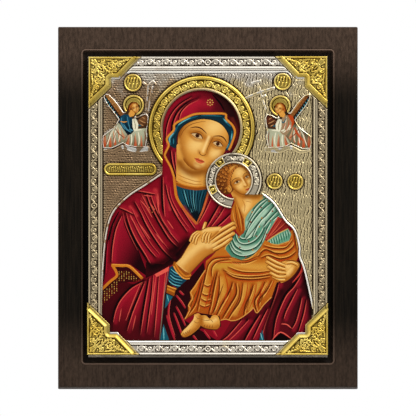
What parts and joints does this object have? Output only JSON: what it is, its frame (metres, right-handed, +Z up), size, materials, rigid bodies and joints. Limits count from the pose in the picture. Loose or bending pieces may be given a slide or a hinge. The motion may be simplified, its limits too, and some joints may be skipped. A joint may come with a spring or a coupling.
{
  "type": "icon panel",
  "caption": "Wall icon: a picture board under a pressed silver and gilt sheet with corner mounts, set in a recessed dark wooden plaque that hangs flat by its back.",
  "frame": {"origin": "centre of the flat back, where the plaque lies against the wall", "axes": "+Y out of the back into the wall, so the picture faces -Y; +Z up; +X to the viewer's right"},
  "size_m": [0.27, 0.0252, 0.326],
  "materials": {
    "dark_wood": "open-grained dark stain, satin",
    "picture_paint": "painted picture under clear varnish, mostly deep red",
    "silver_plate": "pressed silver plate, darkened in the hollows and polished on the high places",
    "gilt_plate": "pressed gilt plate, bright"
  },
  "bodies": {
    "root": {"wooden_plaque": "dark_wood", "painted_panel": "picture_paint", "silver_cover": "silver_plate", "corner_mount_top_left": "gilt_plate", "corner_mount_top_right": "gilt_plate", "corner_mount_bottom_left": "gilt_plate", "corner_mount_bottom_right": "gilt_plate"}
  },
  "joints": []
}
